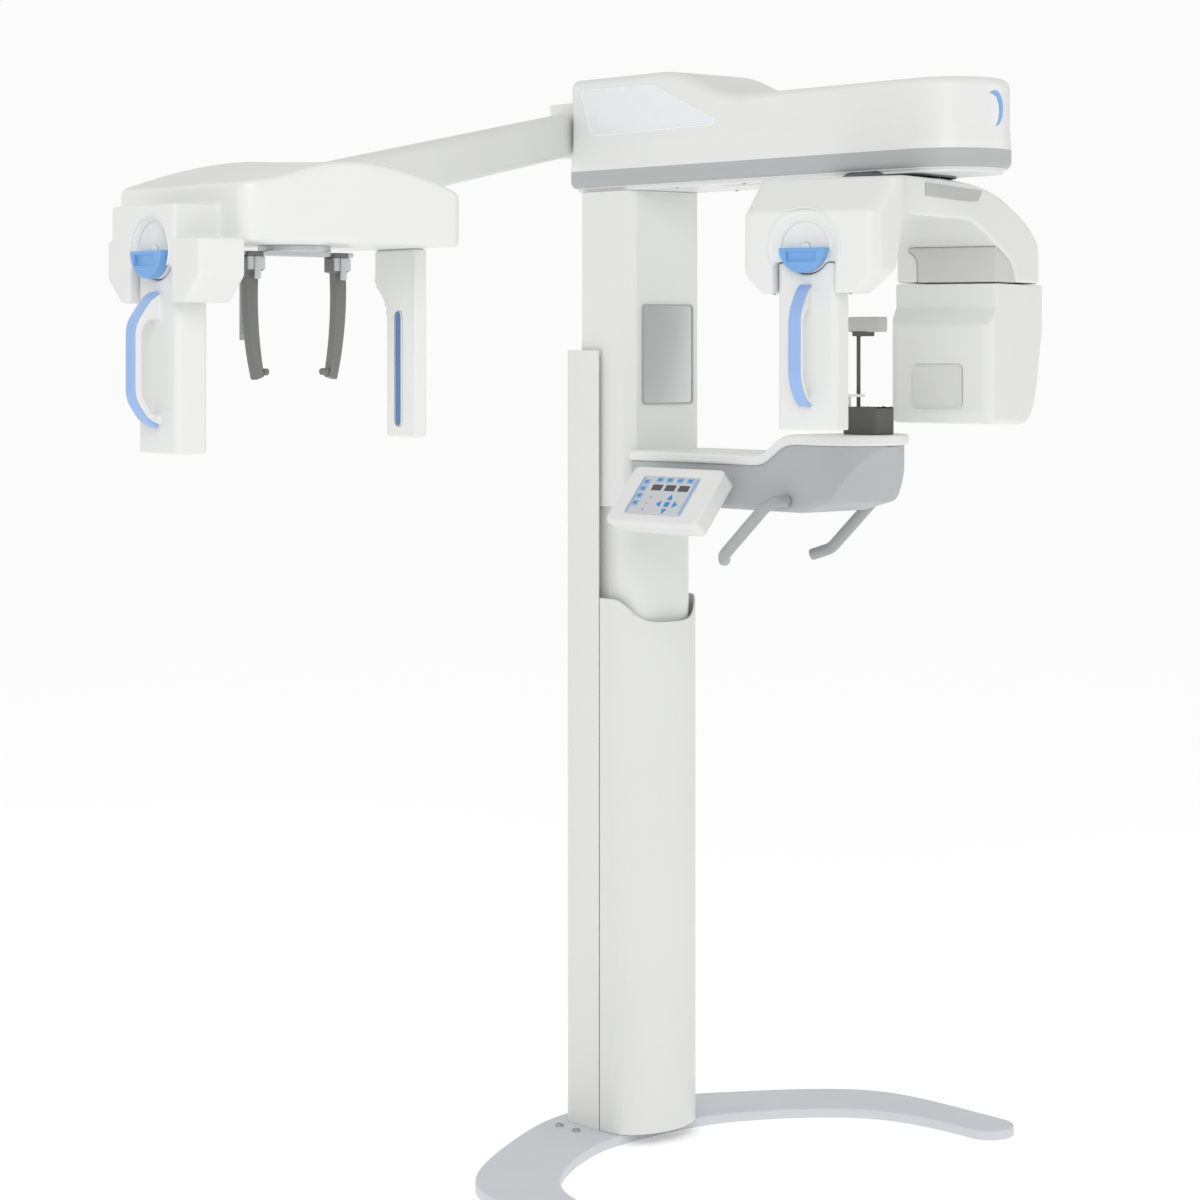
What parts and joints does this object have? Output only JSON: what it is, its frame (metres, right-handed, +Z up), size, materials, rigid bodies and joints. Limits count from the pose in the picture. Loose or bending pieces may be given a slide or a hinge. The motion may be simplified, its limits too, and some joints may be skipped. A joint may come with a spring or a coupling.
{
  "type": "panoramic dental x-ray unit",
  "caption": "Floor-standing dental x-ray unit: rising column, overhead gantry with a turning C-arm, patient tray, control panel and a side arm for skull views.",
  "frame": {"origin": "on the floor below the column's centre line", "axes": "+Z up; -Y towards the patient, along the gantry; the skull-view arm reaches towards -X"},
  "size_m": [2.2282, 1.2537, 2.248],
  "materials": {
    "white_skin": "smooth satin white moulding",
    "white_steel": "white powder coat",
    "base_paint": "light blue-grey paint",
    "grey_trim": "mid grey moulding",
    "grey_paint": "grey enamel",
    "liner_grey": "light grey moulding",
    "window_grey": "thin grey window",
    "dark_plastic": "dark grey moulding",
    "ear_plastic": "grey carbon-filled moulding",
    "blue_grip": "soft blue moulding",
    "key_blue": "blue key cap",
    "film": "printed grey membrane",
    "display": "dark display window",
    "inset": "bright satin inlay",
    "mirror": "silvered glass",
    "steel": "ground steel",
    "aluminium": "milled aluminium",
    "motor_black": "black motor housing",
    "belt": "toothed belt"
  },
  "bodies": {
    "stand": {"base_plate": "base_paint", "post_cover": "white_steel", "front_cover": "white_steel", "mast": "steel", "lift_rails": "steel", "lift_motor": "motor_black"},
    "screw": {"lead_screw": "steel"},
    "column": {"lift_carriage": "aluminium", "inner_column": "white_steel", "upper_shell": "white_steel", "mirror_frame": "dark_plastic", "mirror_glass": "mirror", "tray_top": "white_skin", "tray_body": "grey_trim", "grab_handles": "grey_paint", "chin_block": "dark_plastic", "panel_housing": "white_skin", "panel_film": "film", "panel_displays": "display", "gantry_cover": "white_skin", "side_insets": "inset", "nose_badge": "blue_grip", "gantry_trim": "grey_trim", "gantry_floor": "white_skin", "gantry_frame": "aluminium", "ceph_arm": "white_steel", "ceph_head": "white_skin", "slit_housing": "white_skin", "slit_blade": "blue_grip"},
    "head_rest": {"head_support": "dark_plastic"},
    "bite": {"bite_post": "dark_plastic"},
    "stage_long": {"stage_y": "aluminium"},
    "stage_cross": {"stage_x": "aluminium", "rotation_motor": "motor_black", "drive_belt": "belt"},
    "motor_drive": {"motor_pulley": "aluminium"},
    "c_arm": {"rotor_shaft": "steel", "arm_frame": "aluminium", "arm_cover": "white_skin", "arch_liner": "liner_grey", "tube_cover": "white_skin", "tube_window": "window_grey", "xray_source": "steel"},
    "pano_lock": {"pano_latch": "blue_grip"},
    "pano_cassette": {"pano_sensor": "white_skin", "pano_grip": "blue_grip", "pano_detector": "dark_plastic"},
    "ceph_lock": {"ceph_latch": "blue_grip"},
    "ceph_cassette": {"ceph_sensor": "white_skin", "ceph_grip": "blue_grip", "ceph_detector": "dark_plastic"},
    "ear_holder": {"ear_turntable": "aluminium"},
    "ear_left": {"ear_arm_left": "ear_plastic"},
    "ear_right": {"ear_arm_right": "ear_plastic"},
    "nasion": {"nasion_rest": "steel"},
    "key_up": {"key_up": "key_blue"},
    "key_down": {"key_down": "key_blue"},
    "key_left": {"key_left": "key_blue"},
    "key_right": {"key_right": "key_blue"},
    "key_centre": {"key_centre": "key_blue"}
  },
  "joints": [
    {"name": "column_lift", "type": "slide", "parent": "stand", "child": "column", "axis": [0, 0, 1], "range_m": [-0.18, 0.3]},
    {"name": "screw_turn", "type": "hinge", "parent": "stand", "child": "screw", "pos_m": [0, 0.073, 0.9], "axis": [0, 0, 1], "continuous": true},
    {"name": "stage_lengthwise", "type": "slide", "parent": "column", "child": "stage_long", "axis": [0, 1, 0], "range_m": [-0.04, 0.04]},
    {"name": "stage_crosswise", "type": "slide", "parent": "stage_long", "child": "stage_cross", "axis": [1, 0, 0], "range_m": [-0.03, 0.03]},
    {"name": "arm_rotation", "type": "hinge", "parent": "stage_cross", "child": "c_arm", "pos_m": [0, -0.765, 2], "axis": [0, 0, 1], "range_deg": [-180, 180]},
    {"name": "motor_turn", "type": "hinge", "parent": "stage_cross", "child": "motor_drive", "pos_m": [0, -0.687, 2.09], "axis": [0, 0, 1], "range_deg": [-700, 700]},
    {"name": "pano_lock_turn", "type": "hinge", "parent": "c_arm", "child": "pano_lock", "pos_m": [-0.38426, -0.89621, 1.859], "axis": [-0.9415, -0.3371, 0], "range_deg": [0, 90]},
    {"name": "pano_cassette_pull", "type": "slide", "parent": "c_arm", "child": "pano_cassette", "axis": [-0.9415, -0.3371, 0], "range_m": [0, 0.12]},
    {"name": "ceph_lock_turn", "type": "hinge", "parent": "column", "child": "ceph_lock", "pos_m": [-1.574, -0.582, 1.836], "axis": [-1, 0, 0], "range_deg": [0, 90]},
    {"name": "ceph_cassette_pull", "type": "slide", "parent": "column", "child": "ceph_cassette", "axis": [-1, 0, 0], "range_m": [0, 0.12]},
    {"name": "ear_holder_turn", "type": "hinge", "parent": "column", "child": "ear_holder", "pos_m": [-1.3, -0.582, 1.84], "axis": [0, 0, 1], "range_deg": [-90, 90]},
    {"name": "ear_left_slide", "type": "slide", "parent": "ear_holder", "child": "ear_left", "axis": [1, 0, 0], "range_m": [-0.02, 0.022]},
    {"name": "ear_right_slide", "type": "slide", "parent": "ear_holder", "child": "ear_right", "axis": [1, 0, 0], "range_m": [-0.022, 0.02]},
    {"name": "nasion_lift", "type": "slide", "parent": "ear_holder", "child": "nasion", "axis": [0, 0, 1], "range_m": [-0.03, 0]},
    {"name": "head_rest_lift", "type": "slide", "parent": "column", "child": "head_rest", "axis": [0, 0, 1], "range_m": [-0.03, 0.03]},
    {"name": "bite_lift", "type": "slide", "parent": "column", "child": "bite", "axis": [0, 0, 1], "range_m": [0, 0.03]},
    {"name": "key_up_press", "type": "slide", "parent": "column", "child": "key_up", "axis": [0.7821, 0, -0.6231], "range_m": [0, 0.0008]},
    {"name": "key_down_press", "type": "slide", "parent": "column", "child": "key_down", "axis": [0.7821, 0, -0.6231], "range_m": [0, 0.0008]},
    {"name": "key_left_press", "type": "slide", "parent": "column", "child": "key_left", "axis": [0.7821, 0, -0.6231], "range_m": [0, 0.0008]},
    {"name": "key_right_press", "type": "slide", "parent": "column", "child": "key_right", "axis": [0.7821, 0, -0.6231], "range_m": [0, 0.0008]},
    {"name": "key_centre_press", "type": "slide", "parent": "column", "child": "key_centre", "axis": [0.7821, 0, -0.6231], "range_m": [0, 0.0008]}
  ],
  "couplings": [
    {"joint": "screw_turn", "follows": "column_lift", "rad_per_m": 251.33},
    {"joint": "motor_turn", "follows": "arm_rotation", "ratio": 3.5},
    {"joint": "ear_right_slide", "follows": "ear_left_slide", "ratio": -1}
  ]
}
